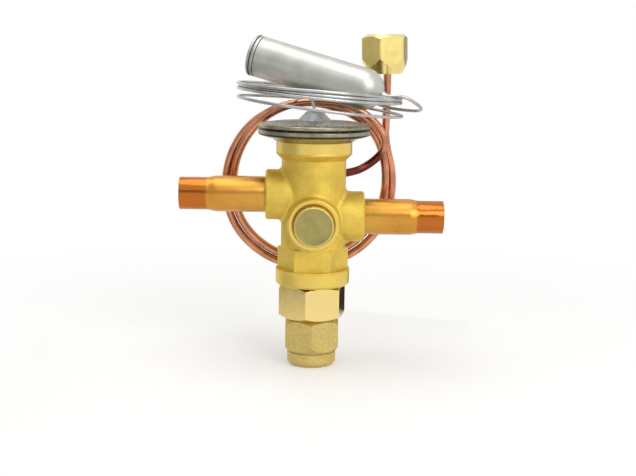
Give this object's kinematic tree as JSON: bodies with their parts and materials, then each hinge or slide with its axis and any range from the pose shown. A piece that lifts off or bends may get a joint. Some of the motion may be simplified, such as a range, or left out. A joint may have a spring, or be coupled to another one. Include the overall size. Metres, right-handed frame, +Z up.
{
  "type": "thermostatic expansion valve",
  "caption": "Brass refrigerant expansion valve with copper stubs, a front check valve, a sensing bulb on a coiled capillary tube, and an external equalizer tube with a flare nut.",
  "frame": {"origin": "middle of the seal cap's flat foot, on the surface that the valve stands on", "axes": "+Z up the valve's axis, towards the power element; -Y towards the check valve's plug; +X towards the outlet stub"},
  "size_m": [0.103, 0.0645, 0.1301],
  "materials": {
    "forged_brass": "matt forged",
    "turned_brass": "bright turned",
    "blasted_brass": "blasted",
    "copper_stub": "satin copper",
    "copper_tube": "bright copper",
    "element_steel": "satin",
    "capillary_steel": "satin",
    "bulb_steel": "satin",
    "inner_steel": "ground",
    "spring_steel": "oiled",
    "ferrule_solder": "matt grey",
    "seal_fibre": "matt",
    "packing_ring": "matt"
  },
  "bodies": {
    "valve": {"valve_body": "forged_brass", "inlet_stub": "copper_stub", "outlet_stub": "copper_stub", "seat_insert": "inner_steel", "check_plug": "turned_brass", "element_cup": "element_steel", "diaphragm": "inner_steel", "element_cover": "element_steel", "capillary_ferrule": "ferrule_solder", "capillary_tube": "capillary_steel", "bulb_shell": "bulb_steel", "bulb_end_cap": "bulb_steel", "bulb_solder": "ferrule_solder", "equalizer_tube": "copper_tube", "flare_bush": "copper_tube", "bonnet": "turned_brass", "bonnet_gasket": "seal_fibre", "packing_gland": "turned_brass", "stem_packing": "packing_ring", "superheat_spring": "spring_steel"},
    "pin_set": {"buffer_plate": "inner_steel", "push_rod_front": "inner_steel", "push_rod_rear": "inner_steel", "pin_carrier": "turned_brass", "valve_pin": "inner_steel"},
    "stem": {"adjusting_stem": "inner_steel"},
    "spring_seat": {"spring_seat": "turned_brass"},
    "cap_seal": {"cap_washer": "seal_fibre"},
    "cap": {"seal_cap": "blasted_brass"},
    "check_ball": {"check_ball": "inner_steel"},
    "nut": {"equalizer_nut": "turned_brass"}
  },
  "joints": [
    {"name": "pin_lift", "type": "slide", "parent": "valve", "child": "pin_set", "axis": [0, 0, -1], "range_m": [0, 0.0008], "stiffness_N_per_m": 8000, "deforming": ["diaphragm", "superheat_spring"]},
    {"name": "stem_turn", "type": "hinge", "parent": "valve", "child": "stem", "pos_m": [0, 0, 0.02], "axis": [0, 0, 1], "range_deg": [-1441, 1441]},
    {"name": "seat_slide", "type": "slide", "parent": "valve", "child": "spring_seat", "axis": [0, 0, 1], "range_m": [-0.003, 0.003], "deforming": ["superheat_spring"]},
    {"name": "cap_slide", "type": "slide", "parent": "valve", "child": "cap_seal", "axis": [0, 0, -1], "range_m": [0, 0.00975]},
    {"name": "cap_turn", "type": "hinge", "parent": "cap_seal", "child": "cap", "pos_m": [0, 0, 0.01], "axis": [0, 0, -1], "range_deg": [0, 2342]},
    {"name": "ball_travel", "type": "slide", "parent": "valve", "child": "check_ball", "axis": [0, -1, 0], "range_m": [0, 0.0018]},
    {"name": "nut_turn", "type": "hinge", "parent": "valve", "child": "nut", "pos_m": [0.02787, 0.0215, 0.1268], "axis": [-0.0262, 0, 0.9997], "continuous": true}
  ],
  "couplings": [
    {"joint": "stem_turn", "follows": "seat_slide", "rad_per_m": 8377.6},
    {"joint": "cap_turn", "follows": "cap_slide", "rad_per_m": 4188.8}
  ]
}
